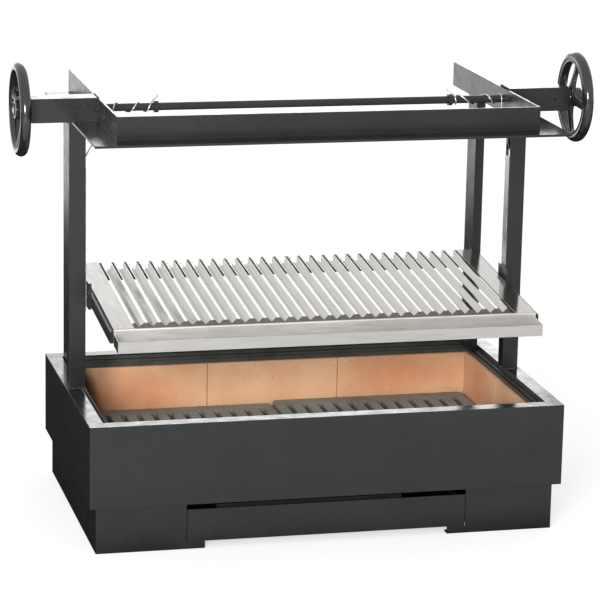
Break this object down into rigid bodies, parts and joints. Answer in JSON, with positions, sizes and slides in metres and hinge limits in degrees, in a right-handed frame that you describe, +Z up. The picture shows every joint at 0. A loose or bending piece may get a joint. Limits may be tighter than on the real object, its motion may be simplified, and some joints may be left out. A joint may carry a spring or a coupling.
{
  "type": "barbecue grill",
  "caption": "Built-in charcoal grill: brick-lined fire box on a plinth, sloping V-bar grill lifted on wire ropes by side handwheels, grease tray, ash drawer.",
  "frame": {"origin": "on the floor, under the middle of the whole object's bounding box", "axes": "+Z up, +Y to the back, +X to the right of someone who stands at the front"},
  "size_m": [1.216, 0.653, 0.966],
  "materials": {
    "paint": "satin anthracite stove paint",
    "stainless": "brushed stainless steel",
    "firebrick": "matt salmon firebrick",
    "grate_iron": "raw cast iron",
    "wheel_black": "glossy black phenolic",
    "wire_rope": "bright stranded wire",
    "zinc_steel": "zinc-plated steel",
    "bronze": "plain bearing bronze"
  },
  "bodies": {
    "frame": {"plinth": "paint", "drawer_runner_left": "paint", "drawer_runner_right": "paint", "firebox_shell": "paint", "brick_retaining_frame": "paint", "firebricks_back": "firebrick", "firebricks_front": "firebrick", "firebricks_left": "firebrick", "firebricks_right": "firebrick", "grate_rails": "paint", "guide_post_left": "paint", "guide_post_right": "paint", "rear_upright_left": "paint", "rear_upright_right": "paint", "top_rail_front": "paint", "top_rail_left": "paint", "top_rail_right": "paint", "shaft_housing_left": "paint", "shaft_housing_right": "paint", "inner_bushes": "bronze", "outer_bushes": "bronze", "brake_screw": "zinc_steel", "brake_pad": "bronze", "rope_run_left": "wire_rope", "rope_run_right": "wire_rope"},
    "windlass": {"winch_shaft": "paint", "handwheel_left": "wheel_black", "handwheel_right": "wheel_black", "wheel_nuts": "zinc_steel", "wheel_washers": "zinc_steel", "shaft_collars": "zinc_steel", "rope_anchor_left": "paint", "rope_anchor_right": "paint", "rope_winding_left": "wire_rope", "rope_winding_right": "wire_rope"},
    "lift": {"arm_left": "paint", "arm_right": "paint", "arm_end_caps": "paint", "rear_cross_tube": "paint", "carriage_plate_left": "paint", "carriage_plate_right": "paint", "slider_bar_left": "zinc_steel", "slider_bar_right": "zinc_steel", "carriage_bolts": "zinc_steel", "rope_ferrules": "zinc_steel", "tray_runner_left": "paint", "tray_runner_right": "paint"},
    "grill": {"grill_border_left": "stainless", "grill_border_right": "stainless", "v_bars": "stainless", "grill_gutter": "stainless", "gutter_front": "stainless", "grill_rear_strip": "stainless"},
    "tray": {"grease_tray": "stainless"},
    "drawer": {"drawer_front": "paint", "drawer_tub": "paint", "drawer_pull": "paint"},
    "grate_left": {"charcoal_grate_left": "grate_iron"},
    "grate_right": {"charcoal_grate_right": "grate_iron"}
  },
  "joints": [
    {"name": "lift_slide", "type": "slide", "parent": "frame", "child": "lift", "axis": [0, 0, 1], "range_m": [-0.12001, 0.06], "deforming": ["rope_run_left", "rope_run_right"]},
    {"name": "windlass_spin", "type": "hinge", "parent": "frame", "child": "windlass", "pos_m": [0, -0.0315, 0.87], "axis": [1, 0, 0], "range_deg": [-361, 721]},
    {"name": "grill_lift_off", "type": "slide", "parent": "lift", "child": "grill", "axis": [0, -0.0872, 0.9962], "range_m": [0, 0.15]},
    {"name": "tray_slide", "type": "slide", "parent": "lift", "child": "tray", "axis": [0, -0.9962, -0.0872], "range_m": [0, 0.1]},
    {"name": "drawer_slide", "type": "slide", "parent": "frame", "child": "drawer", "axis": [0, -1, 0], "range_m": [0, 0.35]},
    {"name": "grate_left_lift", "type": "slide", "parent": "frame", "child": "grate_left", "axis": [0, 0, 1], "range_m": [0, 0.12]},
    {"name": "grate_right_lift", "type": "slide", "parent": "frame", "child": "grate_right", "axis": [0, 0, 1], "range_m": [0, 0.12]}
  ],
  "couplings": [
    {"joint": "windlass_spin", "follows": "lift_slide", "rad_per_m": -104.71}
  ]
}
